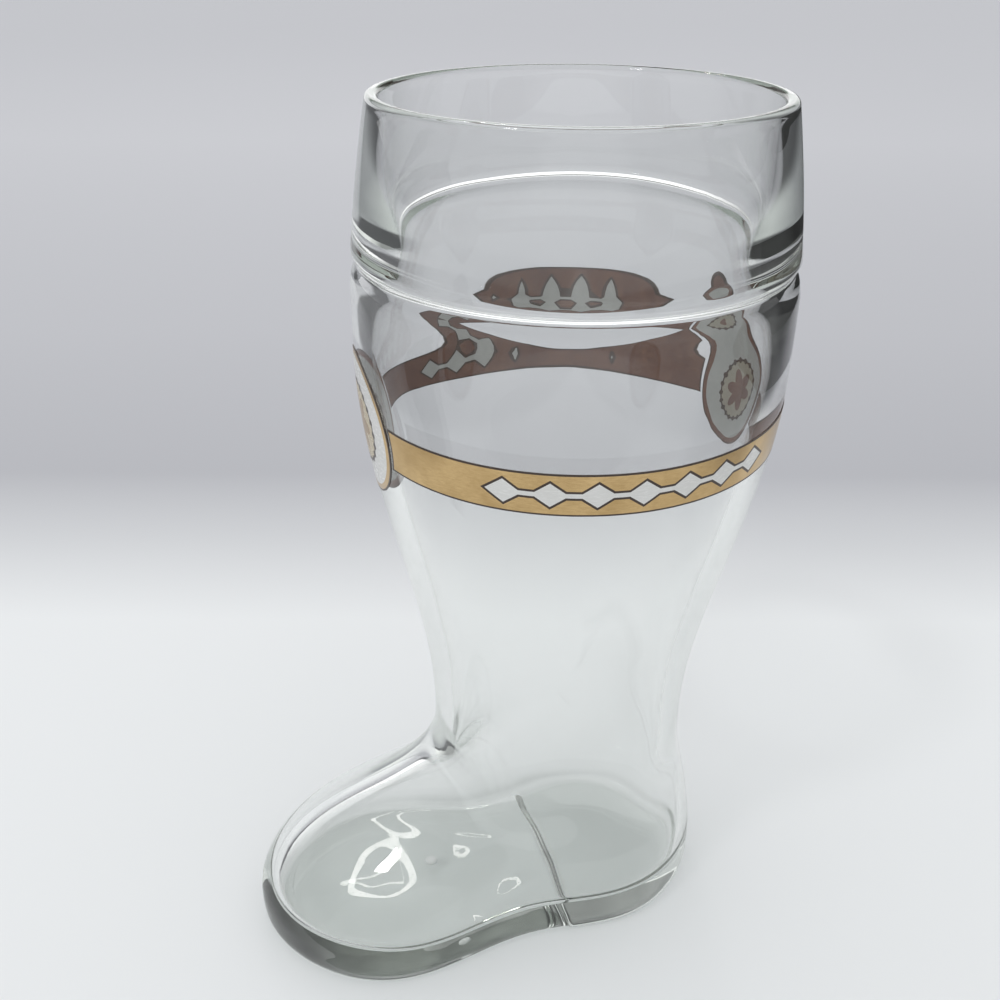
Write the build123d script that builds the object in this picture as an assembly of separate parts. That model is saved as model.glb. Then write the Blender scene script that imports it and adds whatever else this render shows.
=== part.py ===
from build123d import *
import math
import os

# A beer boot: a drinking glass moulded in one piece in the shape of a riding boot, with printed gold and enamel.
# Millimetres. +Z is up and the toe points along -X. The origin lies on the ground under the middle of the object.

# Rim and collar
overall_height = 190.0
rim_diameter = 76.0
lip_thickness = 2.5
lip_flat = 0.5
collar_diameter = 83.8
collar_height = 29.0
collar_swell = 0.25
collar_wall = 5.4
shoulder_radius = 2.4

# Leg
groove_diameter = 81.8
groove_sharpness = 9.0
groove_sharpness_inside = 5.0
calf_diameter = 85.0
calf_height = 144.4
ankle_front_reach = 29.0
ankle_back_reach = 29.3
ankle_width = 55.0
ankle_height = 54.2
leg_wall = 4.4

# Swelling of the wall inside, behind the groove
ridge_height = 160.6
ridge_rise = 1.35
ridge_reach_up = 9.9
ridge_reach_down = 13.0
ridge_fullness = 2.4

# Foot seen from above, measured from the axis of the leg
toe_reach = 73.9
ball_place = 47.9
ball_width = 56.4
waist_place = 13.3
waist_width = 49.0
heel_place = 16.2
heel_width = 48.8
heel_reach = 36.4
foot_wall = 4.0

# Foot seen from the side
sole_thickness = 7.6
sole_edge_height = 7.6
sole_edge_tuck = 1.9
floor_corner = 3.8
instep_height = 58.5
toe_fullness = 1.28
toe_tightness = 2.36
flank_fullness = 1.39
flank_tightness = 5.67
breast_place = 1.4
breast_slant = 2.6
arch_length = 34.0
arch_rise = 1.9

# Printed layers on the outside of the leg
layer_thickness = 0.15
band_height = 131.3
band_width = 7.8
keyline_width = 0.35
medallion_diameter = 28.8
medallion_gap = 0.9
line_width = 0.35
rim_width = 1.1
beading_diameter = 16.0
beading_width = 0.5
bead_diameter = 1.4
bead_count = 20
rosette_diameter = 12.0
petal_width = 3.2
petal_count = 6
lozenge_count = 7
lozenge_pitch = 8.2
lozenge_length = 6.6
lozenge_width = 4.8
link_width = 0.9
outline_width = 0.45

# Sizes worked out from the ones above
rim_radius = rim_diameter / 2
lip_rounding = (lip_thickness - lip_flat) / 2
collar_radius = collar_diameter / 2
groove_radius = groove_diameter / 2
calf_radius = calf_diameter / 2
collar_foot = overall_height - collar_height
leg_top = collar_foot + shoulder_radius
back_reach = max(heel_reach, calf_radius + layer_thickness, collar_radius)
leg_axis = (toe_reach - back_reach) / 2
corner = math.sqrt(0.5)
# Arc over chord for an eighth of a circle: with this pull at its ends a half outline of the leg comes out round
end_pull = (math.pi / 4) / (2 * math.sin(math.pi / 8))


def ease(share):
    """A smooth step from 0 to 1."""
    return (1 - math.cos(math.pi * min(max(share, 0.0), 1.0))) / 2


def steps(low, high, count):
    """Evenly spaced heights, both ends in."""
    return [low + (high - low) * index / count for index in range(count + 1)]


def oval(front, side, back):
    """Five points of half an oval: toe end, toe corner, side, heel corner, heel end."""
    return [
        Vector(-front, 0),
        Vector(-front * corner, side * corner),
        Vector(0, side),
        Vector(back * corner, side * corner),
        Vector(back, 0),
    ]


def sole_plan():
    """The widest outline of the foot: toe tip, ball, waist, side of the heel, back of the heel."""
    return [
        Vector(-toe_reach, 0),
        Vector(-ball_place, ball_width / 2),
        Vector(-waist_place, waist_width / 2),
        Vector(heel_place, heel_width / 2),
        Vector(heel_reach, 0),
    ]


def leg_reach(height, ankle_reach, sharpness):
    """How far the leg stands out on one side: from the ankle out to the calf, then in to the groove."""
    if height > calf_height:
        share = min((height - calf_height) / (collar_foot - calf_height), 1.0)
        return calf_radius - (calf_radius - groove_radius) * share ** sharpness
    share = ease((height - ankle_height) / (calf_height - ankle_height))
    return ankle_reach + (calf_radius - ankle_reach) * share


def outline(height, cover=0.0):
    """Half outline of the boot at a height. A cover lowers the top of the foot, for the inside."""
    sharpness = groove_sharpness_inside if cover else groove_sharpness
    leg = oval(
        leg_reach(height, ankle_front_reach, sharpness),
        leg_reach(height, ankle_width / 2, sharpness),
        leg_reach(height, ankle_back_reach, sharpness),
    )
    toe_rise = min(max((height + cover - sole_edge_height) / (instep_height - sole_edge_height), 0.0), 1.0)
    toe = (1 - ease(toe_rise ** toe_fullness)) ** toe_tightness
    flank = (1 - ease(toe_rise ** flank_fullness)) ** flank_tightness
    heel = 1 - ease((height - sole_edge_height) / (ankle_height - sole_edge_height))
    shares = [toe, flank, (flank + heel) / 2, heel, heel]
    return [upper + (lower - upper) * share for upper, lower, share in zip(leg, sole_plan(), shares)]


def inset(points, depth):
    """Half outline moved inwards, square to its own run."""
    moved = [points[0] + Vector(depth, 0)]
    for before, here, after in zip(points, points[1:], points[2:]):
        run = (after - before).normalized()
        moved.append(here + Vector(run.Y, -run.X) * depth)
    moved.append(points[-1] - Vector(depth, 0))
    return moved


def closed_wire(points, height):
    """Whole outline at a height: a smooth half, square to the middle plane at its ends, and its mirror image."""
    ring = [Vector(leg_axis + point.X, point.Y, height) for point in points]
    half = Spline(*ring, tangents=[(0, 1), (0, -1)], tangent_scalars=[end_pull, end_pull])
    return Wire([half, half.mirror(Plane.XZ)])


def leg_heights():
    """Levels of the outlines that make the leg."""
    return steps(ankle_height, calf_height, 10) + steps(calf_height, collar_foot, 6)[1:] + [leg_top]


def foot_and_leg():
    """The outside from the ground to inside the collar, lofted through level outlines."""
    widest = outline(sole_edge_height)
    wires = [
        closed_wire(inset(widest, sole_edge_tuck), 0),
        closed_wire(inset(widest, sole_edge_tuck * 0.35), sole_edge_height * 0.3),
    ]
    for height in steps(sole_edge_height, ankle_height, 14) + leg_heights()[1:]:
        wires.append(closed_wire(outline(height), height))
    return Solid.make_loft(wires)


def collar():
    """The turned collar with its rounded shoulder below and the outer half of the lip above."""
    middle = ((rim_radius + collar_radius) / 2 + collar_swell, (overall_height + leg_top) / 2)
    side = ThreePointArc((rim_radius, overall_height - lip_rounding), middle, (collar_radius, leg_top))
    shoulder = RadiusArc(side @ 1, (collar_radius - shoulder_radius, collar_foot), shoulder_radius)
    under = Line(shoulder @ 1, (0, collar_foot))
    axis = Line(under @ 1, (0, overall_height))
    top = Line(axis @ 1, (rim_radius - lip_rounding, overall_height))
    lip = RadiusArc(top @ 1, side @ 0, lip_rounding)
    profile = make_face(Plane.XZ * (Curve() + [side, shoulder, under, axis, top, lip]))
    return Pos(leg_axis, 0, 0) * revolve(profile, Axis.Z)


def ridge(height):
    """How much the wall swells inwards at a height."""
    reach = ridge_reach_up if height > ridge_height else ridge_reach_down
    return ridge_rise * math.exp(-(abs(height - ridge_height) / reach) ** ridge_fullness)


def hollow():
    """The inside: from the floor of the foot, with its rounded corner, to just over the rim."""
    wires = []
    for lift, tuck in ((0.0, 1.0), (0.35, 0.3), (1.0, 0.0)):
        height = sole_thickness + lift * floor_corner
        wires.append(closed_wire(inset(outline(height, foot_wall), foot_wall + tuck * floor_corner), height))
    first = sole_thickness + floor_corner
    in_leg = steps(ankle_height, calf_height, 7) + steps(calf_height, collar_foot, 4)[1:]
    for height in steps(first, ankle_height, 14)[1:] + in_leg[1:]:
        wall = foot_wall + (leg_wall - foot_wall) * ease((height - first) / (ankle_height - first))
        wires.append(closed_wire(inset(outline(height, foot_wall), wall + ridge(height)), height))
    low = collar_radius - collar_wall
    high = rim_radius - lip_thickness
    for share in (0.0, 0.18, 0.36, 0.55, 0.77, 1.0, 1.2):
        height = leg_top + (overall_height - leg_top) * share
        reach = low + (high - low) * share - ridge(height)
        wires.append(closed_wire(oval(reach, reach, reach), height))
    return Solid.make_loft(wires)


def arch():
    """The shallow hollow under the waist of the sole, in front of the slanted breast of the heel."""
    breast = Line((-breast_place, 0), (-breast_place - breast_slant, arch_rise))
    run = Spline(breast @ 1, (-breast_place - breast_slant - arch_length, 0), tangents=[(-1, 0), (-1, -0.12)])
    ground = Line(run @ 1, breast @ 0)
    side = make_face(Plane.XZ * (Curve() + [breast, run, ground]))
    return Pos(leg_axis, 0, 0) * extrude(side, amount=ball_width, both=True)


def glass_boot(outside):
    """The one piece of glass, with the inner half of the lip rounded as well."""
    glass = outside - hollow() - arch()
    top_edges = glass.edges().filter_by(GeomType.BSPLINE).group_by(Axis.Z)[-1]
    return fillet(top_edges, lip_rounding)


def print_sleeve(outside):
    """A thin even skin on the outside of the leg, from which every printed layer is cut."""
    wires = [closed_wire(inset(outline(height), -layer_thickness), height) for height in leg_heights()]
    zone = Box(4 * calf_radius, 4 * calf_radius, medallion_diameter + 4)
    return (Solid.make_loft(wires) & Pos(leg_axis, 0, band_height) * zone) - outside


def disc(facing, diameter):
    """A bar from the axis of the leg out to the front (-1) or the back (1), round, at the height of the band."""
    face = Plane(origin=(leg_axis, 0, band_height), x_dir=(0, facing, 0), z_dir=(facing, 0, 0))
    return extrude(face * Circle(diameter / 2), amount=2 * calf_radius)


def flat_bar(facing, sketch):
    """Any flat drawing as such a bar."""
    face = Plane(origin=(leg_axis, 0, band_height), x_dir=(0, facing, 0), z_dir=(facing, 0, 0))
    return extrude(face * sketch, amount=2 * calf_radius)


def beading():
    """A fine ring with beads on it."""
    ring = Circle((beading_diameter + beading_width) / 2) - Circle((beading_diameter - beading_width) / 2)
    return ring + PolarLocations(beading_diameter / 2, bead_count) * Circle(bead_diameter / 2)


def rosette():
    """Petals round a point, each one an ellipse that reaches past the middle."""
    petal = Ellipse(rosette_diameter / 4, petal_width / 2)
    return Sketch() + PolarLocations(rosette_diameter / 4, petal_count) * petal + Circle(petal_width / 2)


def medallion(sleeve, facing, place):
    """A round badge: dark line, gold rim, white field, beading, cream roundel and gold rosette."""
    rim_outside = medallion_diameter - 2 * line_width
    field_outside = rim_outside - 2 * rim_width
    beads = flat_bar(facing, beading())
    inner = disc(facing, beading_diameter)
    petals = flat_bar(facing, rosette())
    half = sleeve & disc(facing, medallion_diameter)
    return {
        f"medallion_line_{place}": half - disc(facing, rim_outside),
        f"medallion_rim_{place}": (half & disc(facing, rim_outside)) - disc(facing, field_outside),
        f"medallion_field_{place}": (half & disc(facing, field_outside)) - inner - beads,
        f"medallion_beading_{place}": half & beads,
        f"medallion_roundel_{place}": (half & inner) - beads - petals,
        f"medallion_rosette_{place}": half & petals,
    }


def band_zone(facing, width, clearance):
    """The space of a band on the near (-1) or the far (1) side, between the two medallions."""
    side = Pos(leg_axis, facing * calf_radius, band_height) * Box(4 * calf_radius, 2 * calf_radius, width)
    cut = medallion_diameter + 2 * clearance
    return side - disc(-1, cut) - disc(1, cut)


def lozenge_chain(facing, margin):
    """A row of lozenges joined by a thin link, standing out square to the leg, grown by a margin all round."""
    turn = math.degrees(lozenge_pitch / calf_radius)
    slant = math.hypot(lozenge_length, lozenge_width)
    half_length = lozenge_length / 2 + margin * slant / lozenge_width
    half_width = lozenge_width / 2 + margin * slant / lozenge_length
    corners = [(half_length, 0), (0, half_width), (-half_length, 0), (0, -half_width)]
    chain = Part()
    for index in range(lozenge_count):
        angle = math.radians(facing * 90 + (index - (lozenge_count - 1) / 2) * turn)
        out = (math.cos(angle), math.sin(angle), 0)
        face = Plane(origin=(leg_axis, 0, band_height), x_dir=(-out[1], out[0], 0), z_dir=out)
        chain += extrude(face * make_face(Polyline(*corners, close=True)), amount=2 * calf_radius)
    reach = math.radians((lozenge_count - 1) / 2 * turn)
    spread = 2 * calf_radius * math.tan(reach)
    wedge = Polyline((0, 0), (spread, facing * 2 * calf_radius), (-spread, facing * 2 * calf_radius), close=True)
    link = extrude(make_face(wedge), amount=link_width / 2 + margin, both=True)
    return chain + Pos(leg_axis, 0, band_height) * link


def band(sleeve, facing, place):
    """A gold band with a dark line round it and a white chain of lozenges, dark edged, let into the gold."""
    whole = sleeve & band_zone(facing, band_width + 2 * keyline_width, medallion_gap)
    gold_zone = band_zone(facing, band_width, medallion_gap + keyline_width)
    chain = lozenge_chain(facing, 0)
    edged_chain = lozenge_chain(facing, outline_width)
    return {
        f"band_keyline_{place}": whole - gold_zone,
        f"band_gold_{place}": (whole & gold_zone) - edged_chain,
        f"band_outline_{place}": (whole & edged_chain) - chain,
        f"band_ornament_{place}": whole & chain,
    }


outside = foot_and_leg() + collar()
sleeve = print_sleeve(outside)
nodes = {"glass_boot": glass_boot(outside)}
nodes |= medallion(sleeve, -1, "front")
nodes |= medallion(sleeve, 1, "back")
nodes |= band(sleeve, -1, "near")
nodes |= band(sleeve, 1, "far")

os.makedirs("parts", exist_ok=True)
for name, shape in nodes.items():
    shape.label = name
    export_step(shape, f"parts/{name}.step")
    print(name, "solids", len(shape.solids()), "volume", round(shape.volume, 2), "valid", shape.is_valid)
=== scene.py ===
# %% [markdown]
# # A beer boot
#
# This lesson dresses a drinking glass that is moulded in the shape of a riding boot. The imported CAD
# model is loaded first and stays as it is: it says where everything sits. Each visible piece is
# then made anew around it, with a smooth mesh and a finish of its own. Blender works in metres
# here. The boot and the camera are written in millimetres, the room around them in metres.

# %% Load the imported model
import math

import bmesh
import bpy
import numpy as np
from mathutils import Matrix, Vector


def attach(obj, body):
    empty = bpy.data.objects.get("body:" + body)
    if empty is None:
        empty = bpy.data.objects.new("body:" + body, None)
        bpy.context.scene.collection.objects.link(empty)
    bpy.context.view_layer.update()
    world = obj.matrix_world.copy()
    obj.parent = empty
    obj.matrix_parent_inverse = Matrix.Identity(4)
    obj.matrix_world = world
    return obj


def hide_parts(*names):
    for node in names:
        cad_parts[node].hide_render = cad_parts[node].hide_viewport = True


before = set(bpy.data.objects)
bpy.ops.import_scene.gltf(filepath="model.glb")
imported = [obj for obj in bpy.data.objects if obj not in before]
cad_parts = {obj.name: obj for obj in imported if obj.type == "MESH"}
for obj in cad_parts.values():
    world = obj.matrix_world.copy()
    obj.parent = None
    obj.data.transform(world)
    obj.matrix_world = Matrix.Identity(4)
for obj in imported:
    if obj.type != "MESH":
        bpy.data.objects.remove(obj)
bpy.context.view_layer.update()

mm = 0.001
print("CAD nodes:", len(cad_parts))

# %% [markdown]
# ## Helpers for nodes
#
# Both the shapes and the finishes are made with node trees. One helper adds a node and fills its
# inputs, each with a plain value or with a link from another node. The short ones on top of it do
# the sums that come back again and again, and hand on the socket that holds the answer.


# %% Nodes and sums
def add(tree, kind, inputs=None, **settings):
    made = tree.nodes.new(kind)
    for name, value in settings.items():
        setattr(made, name, value)
    for key, value in (inputs or {}).items():
        if isinstance(value, bpy.types.NodeSocket):
            tree.links.new(value, made.inputs[key])
        else:
            made.inputs[key].default_value = value
    return made


def reckon(tree, operation, *values):
    return add(tree, "ShaderNodeMath", dict(enumerate(values)), operation=operation).outputs[0]


def reckon_vector(tree, operation, *values):
    made = add(tree, "ShaderNodeVectorMath", dict(enumerate(values)), operation=operation)
    return made.outputs["Value" if operation == "DOT_PRODUCT" else "Vector"]


def scaled(tree, vector, by):
    return add(tree, "ShaderNodeVectorMath", {0: vector, "Scale": by}, operation="SCALE").outputs["Vector"]


def combined(tree, **parts):
    return add(tree, "ShaderNodeCombineXYZ", parts).outputs[0]


def ranged(tree, value, low, high, to_low=0.0, to_high=1.0, **settings):
    return add(tree, "ShaderNodeMapRange", {
        "Value": value, "From Min": low, "From Max": high, "To Min": to_low, "To Max": to_high,
    }, **settings).outputs[0]


print("helpers for nodes are ready")

# %% [markdown]
# ## Helpers for shapes
#
# The first helper starts a Geometry Nodes tree with its named inputs. The next adds one step to it:
# a node that takes the geometry of the step before and hands on its own. Two more write a vector
# onto each point and read it back. Then comes the one that runs a finished tree on a mesh and hands
# back the plain mesh that comes out of it, because the export drops modifiers and instances. The
# last two make a mesh from points and faces, and put a mesh into the scene as an object at the
# origin.


# %% Trees, meshes and objects
def shape_tree(name, inputs):
    tree = bpy.data.node_groups.new(name, "GeometryNodeTree")
    tree.interface.new_socket("Geometry", in_out="OUTPUT", socket_type="NodeSocketGeometry")
    tree.interface.new_socket("Geometry", in_out="INPUT", socket_type="NodeSocketGeometry")
    for label, kind in inputs.items():
        tree.interface.new_socket(label, in_out="INPUT", socket_type="NodeSocket" + kind)
    return tree, tree.nodes.new("NodeGroupInput").outputs, tree.nodes.new("NodeGroupOutput").inputs


def step(tree, kind, geometry, inputs=None, **settings):
    return add(tree, "GeometryNode" + kind, {0: geometry, **(inputs or {})}, **settings).outputs[0]


def written(tree, geometry, name, value):
    inputs = {"Name": name, "Value": value}
    return step(tree, "StoreNamedAttribute", geometry, inputs, data_type="FLOAT_VECTOR", domain="POINT")


def read_back(tree, name):
    return add(tree, "GeometryNodeInputNamedAttribute", {"Name": name}, data_type="FLOAT_VECTOR").outputs[0]


def run_tree(tree, start, values):
    worker = bpy.data.objects.new("worker", start)
    bpy.context.scene.collection.objects.link(worker)
    modifier = worker.modifiers.new(tree.name, "NODES")
    modifier.node_group = tree
    for item in tree.interface.items_tree:
        if item.in_out == "INPUT" and item.name in values:
            modifier[item.identifier] = values[item.name]
    mesh = bpy.data.meshes.new_from_object(worker.evaluated_get(bpy.context.evaluated_depsgraph_get()))
    worker.modifiers.remove(modifier)
    bpy.data.objects.remove(worker)
    return mesh


def flat_mesh(name, points, faces=()):
    mesh = bpy.data.meshes.new(name)
    mesh.from_pydata([tuple(p) for p in points], [], faces)
    return mesh


def place(name, mesh):
    piece = bpy.data.objects.new(name, mesh)
    bpy.context.scene.collection.objects.link(piece)
    return piece


print("helpers for shapes are ready")

# %% [markdown]
# ## The rule of the boot
#
# The glass has no straight lines to speak of, but it follows a rule. Seen from above, the leg is an
# oval and the foot is a sole with a ball, a waist and a heel. At each height the outline lies
# somewhere between the two. Five points describe half an outline, a smooth curve runs through them,
# and the other half is its mirror image.

# %% Outline of the boot at a height
calf_radius, calf_height, groove_radius = 42.5, 144.4, 40.9
sharpness_outside, sharpness_inside = 9.0, 5.0
ankle_front, ankle_side, ankle_back, ankle_height = 29.0, 27.5, 29.3, 54.2
toe_reach, ball_place, ball_width, waist_place, waist_width = 73.9, 47.9, 56.4, 13.3, 49.0
heel_place, heel_width, heel_reach = 16.2, 48.8, 36.4
sole_edge, instep_height = 7.6, 58.5
toe_fullness, toe_tightness, flank_fullness, flank_tightness = 1.28, 2.36, 1.39, 5.67
overall_height, collar_height, leg_axis = 190.0, 29.0, 15.625
collar_foot = overall_height - collar_height
corner = math.sqrt(0.5)
sole_plan = np.array([
    (-toe_reach, 0), (-ball_place, ball_width / 2), (-waist_place, waist_width / 2),
    (heel_place, heel_width / 2), (heel_reach, 0),
])


def ease(share):
    return (1 - np.cos(np.pi * np.clip(share, 0, 1))) / 2


def leg_reach(height, ankle, sharpness=sharpness_outside):
    if height > calf_height:
        share = min((height - calf_height) / (collar_foot - calf_height), 1.0)
        return calf_radius - (calf_radius - groove_radius) * share ** sharpness
    return ankle + (calf_radius - ankle) * ease((height - ankle_height) / (calf_height - ankle_height))


def outline(height, cover=0.0):
    sharpness = sharpness_inside if cover else sharpness_outside
    front, side, back = (
        leg_reach(height, ankle, sharpness) for ankle in (ankle_front, ankle_side, ankle_back)
    )
    leg = np.array([
        (-front, 0), (-front * corner, side * corner), (0, side), (back * corner, side * corner), (back, 0),
    ])
    toe_rise = np.clip((height + cover - sole_edge) / (instep_height - sole_edge), 0, 1)
    toe = (1 - ease(toe_rise ** toe_fullness)) ** toe_tightness
    flank = (1 - ease(toe_rise ** flank_fullness)) ** flank_tightness
    heel = 1 - ease((height - sole_edge) / (ankle_height - sole_edge))
    share = np.array([toe, flank, (flank + heel) / 2, heel, heel])[:, None]
    return leg + (sole_plan - leg) * share


def inset(points, depth):
    moved = points.copy()
    run = points[2:] - points[:-2]
    run /= np.linalg.norm(run, axis=1)[:, None]
    moved[1:-1] += np.column_stack([run[:, 1], -run[:, 0]]) * depth
    moved[0, 0] += depth
    moved[-1, 0] -= depth
    return moved


print("half outline at the ankle:", outline(ankle_height).round(1).tolist())

# %% [markdown]
# ## A curve through the five points
#
# Blender could draw this with a curve object. The columns of the skin have to line up from one
# level to the next, though, and some of them have to lie just where the front of the heel slants
# down, so the curve is worked out here: a cubic spline that leaves the middle plane square at both
# ends. Each column keeps its share of the way round.

# %% Spline through half an outline
spans = len(sole_plan) - 1
end_pull = (math.pi / spans) / (2 * math.sin(math.pi / (2 * spans)))


def half_curve(points, columns):
    gaps = np.linalg.norm(np.diff(points, axis=0), axis=1)
    slopes = np.zeros_like(points)
    slopes[0], slopes[-1] = (0, end_pull), (0, -end_pull)
    steps = np.diff(points, axis=0) / gaps[:, None]
    inner = np.diag(2 * (gaps[:-1] + gaps[1:])) + np.diag(gaps[2:], -1) + np.diag(gaps[:-2], 1)
    right = 3 * (gaps[1:, None] * steps[:-1] + gaps[:-1, None] * steps[1:])
    right[0] -= gaps[1] * slopes[0]
    right[-1] -= gaps[-2] * slopes[-1]
    slopes[1:-1] = np.linalg.solve(inner, right)
    part = np.minimum(columns.astype(int), spans - 1)
    u = (columns - part)[:, None]
    gap = gaps[part][:, None]
    return (
        (2 * u**3 - 3 * u**2 + 1) * points[part] + (u**3 - 2 * u**2 + u) * gap * slopes[part]
        + (3 * u**2 - 2 * u**3) * points[part + 1] + (u**3 - u**2) * gap * slopes[part + 1]
    )


print("middle of the toe's curve:", half_curve(sole_plan, np.array([0.5])).round(1).tolist())

# %% Columns round the boot
breast_place, breast_slant = 1.4, 2.6
columns_between_points, closest = 28, 0.012
waist_point, heel_point, probe_steps = 2, 3, 400
even = np.linspace(0, spans, spans * columns_between_points + 1)
probe = np.linspace(waist_point, heel_point, probe_steps)
slant_shares = np.array([1.7, 1.25, 1.0, 0.75, 0.5, 0.25, 0.0, -0.25, -0.7])
slant_places = -breast_place - breast_slant * slant_shares
slant_columns = np.interp(slant_places, half_curve(sole_plan, probe)[:, 0], probe)
away = np.abs(even[:, None] - slant_columns[None]).min(1) > closest
columns = np.sort(np.concatenate([even[away], slant_columns, [closest, spans - closest]]))
round_count = 2 * (len(columns) - 1)


def whole(half):
    return np.vstack([half, half[-2:0:-1] * (1, -1)])


def level(points, height):
    ring = whole(half_curve(points, columns))
    return np.column_stack([ring, np.full(len(ring), height)])


def turned(radius, height):
    angle = columns * math.pi / spans
    ring = whole(np.column_stack([-np.cos(angle), np.sin(angle)]) * radius)
    return np.column_stack([ring, np.full(len(ring), height)])


print("columns round the boot:", round_count)

# %% [markdown]
# ## Levels of the glass
#
# The skin is one closed surface. It starts at the middle of the underside, runs out to the edge of
# the sole, up the outside, over the lip, down the inside and ends at the middle of the inner floor.
# Under the waist lies a shallow arch, which ends at the slanted front of the heel. Levels lie close
# together wherever the surface turns quickly.

# %% Underside and edge of the sole
sole_tuck, tuck_power, edge_round = 1.9, 2.94, 0.9
arch_length, arch_rise, arch_end_slope = 34.0, 1.9, 4.08
underside_levels, edge_levels, side_levels = 12, 6, 11


def arch(x):
    u = np.clip((-breast_place - breast_slant - x) / arch_length, 0, 1)
    height = arch_rise * (2 * u**3 - 3 * u**2 + 1) - arch_end_slope * (u**3 - u**2)
    return np.maximum(height, 0) * ease((-breast_place - x) / breast_slant)


widest = level(outline(sole_edge), sole_edge)
ahead = np.roll(widest, -1, 0) - np.roll(widest, 1, 0)
ahead /= np.linalg.norm(ahead, axis=1)[:, None]
outward = np.column_stack([-ahead[:, 1], ahead[:, 0]])
hollowed = arch(widest[:, 0])


def tucked(height):
    return sole_tuck * np.clip(1 - height / sole_edge, 0, 1) ** tuck_power


def sole_level(depth, height):
    flat = widest[:, :2] - outward * depth[:, None]
    return np.column_stack([flat, height])


levels = []
under = sole_level(tucked(hollowed) + edge_round, hollowed)
for share in np.linspace(0, 1, underside_levels, endpoint=False):
    levels.append(under * (1, math.sin(share * math.pi / 2), 1))
for u in np.linspace(0, 1, edge_levels):
    depth = (1 - u) ** 2 * (tucked(hollowed) + edge_round) + 2 * u * (1 - u) * tucked(hollowed)
    depth = depth + u**2 * tucked(hollowed + edge_round)
    levels.append(sole_level(depth, hollowed + edge_round * u**2))
for u in np.linspace(0, 1, side_levels)[1:-1]:
    height = hollowed + edge_round + (sole_edge - hollowed - edge_round) * u
    levels.append(sole_level(tucked(height), height))
print("levels of the sole:", len(levels))

# %% Outside of the foot, leg and collar
rim_radius, lip_thickness, lip_flat = 38.0, 2.5, 0.5
collar_radius, collar_swell, collar_wall, shoulder_radius = 41.9, 0.25, 5.4, 2.4
foot_levels, calf_levels, groove_levels, shoulder_levels, collar_levels = 48, 58, 18, 11, 17
groove_crowding = 0.8
leg_top = collar_foot + shoulder_radius
lip_round = (lip_thickness - lip_flat) / 2
shoulder_centre = collar_radius - shoulder_radius
crease_angle = math.acos((groove_radius - shoulder_centre) / shoulder_radius)
crease_height = leg_top - shoulder_radius * math.sin(crease_angle)
foot_heights = np.linspace(sole_edge, ankle_height, foot_levels)
calf_heights = np.linspace(ankle_height, calf_height, calf_levels)[1:]
groove_shares = np.linspace(0, 1, groove_levels)[1:] ** groove_crowding
groove_heights = calf_height + (crease_height - calf_height) * groove_shares
for height in (*foot_heights, *calf_heights, *groove_heights):
    levels.append(level(outline(height), height))
for angle in np.linspace(crease_angle, 0, shoulder_levels)[1:-1]:
    height = leg_top - shoulder_radius * math.sin(angle)
    levels.append(turned(shoulder_centre + shoulder_radius * math.cos(angle), height))
for u in np.linspace(0, 1, collar_levels):
    radius = collar_radius + (rim_radius - collar_radius) * u + 4 * collar_swell * u * (1 - u)
    levels.append(turned(radius, leg_top + (overall_height - lip_round - leg_top) * u))
print("levels outside:", len(levels))

# %% Lip
quarter_levels = 9


def lip_level(centre, angle):
    height = overall_height - lip_round * (1 - math.sin(angle))
    return turned(centre + lip_round * math.cos(angle), height)


for angle in np.linspace(0, math.pi / 2, quarter_levels)[1:]:
    levels.append(lip_level(rim_radius - lip_round, angle))
first_inside = len(levels)
for angle in np.linspace(math.pi / 2, math.pi, quarter_levels):
    levels.append(lip_level(rim_radius - lip_thickness + lip_round, angle))
print("first level inside:", first_inside)

# %% [markdown]
# The inside follows the outside at the thickness of the wall. Behind the crease under the collar
# the wall swells a little, as hot glass does where the mould pinches it. That swelling is what
# bends the light into a bright arc on the far side of the collar.

# %% Inside and inner floor
foot_wall, leg_wall, sole_thickness, floor_corner, floor_dish = 4.0, 4.4, 7.6, 3.8, 0.4
ridge_height, ridge_rise, ridge_reach_up, ridge_reach_down, ridge_fullness = 160.6, 1.35, 9.9, 13.0, 2.4
mouth_levels, swell_levels, shaft_levels, ankle_levels, floor_levels = 29, 20, 52, 42, 13
collar_inside = collar_radius - collar_wall
mouth_inside = rim_radius - lip_thickness
foot_top = sole_thickness + floor_corner


def ridge(height):
    reach = ridge_reach_up if height > ridge_height else ridge_reach_down
    return ridge_rise * math.exp(-(abs(height - ridge_height) / reach) ** ridge_fullness)


def going_down(start, end, count):
    return np.linspace(start, end, count)[1:]


for height in going_down(overall_height - lip_round, leg_top, mouth_levels):
    u = (overall_height - height) / (overall_height - leg_top)
    levels.append(turned(mouth_inside + (collar_inside - mouth_inside) * u - ridge(height), height))
for height in (
    *going_down(leg_top, calf_height, swell_levels), *going_down(calf_height, ankle_height, shaft_levels),
    *going_down(ankle_height, foot_top, ankle_levels),
):
    wall = foot_wall + (leg_wall - foot_wall) * ease((height - foot_top) / (ankle_height - foot_top))
    levels.append(level(inset(outline(height, foot_wall), wall + ridge(height)), height))
for angle in np.linspace(0, math.pi / 2, quarter_levels)[1:]:
    height = sole_thickness + floor_corner * (1 - math.sin(angle))
    depth = foot_wall + floor_corner * (1 - math.cos(angle))
    levels.append(level(inset(outline(height, foot_wall), depth), height))
floor_edge = levels[-1]
for share in np.linspace(1, 0, floor_levels)[1:]:
    across = math.sin(share * math.pi / 2)
    levels.append(floor_edge * (1, across, 1) - (0, 0, floor_dish * (1 - across**2)))
print("levels in all:", len(levels))

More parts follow.
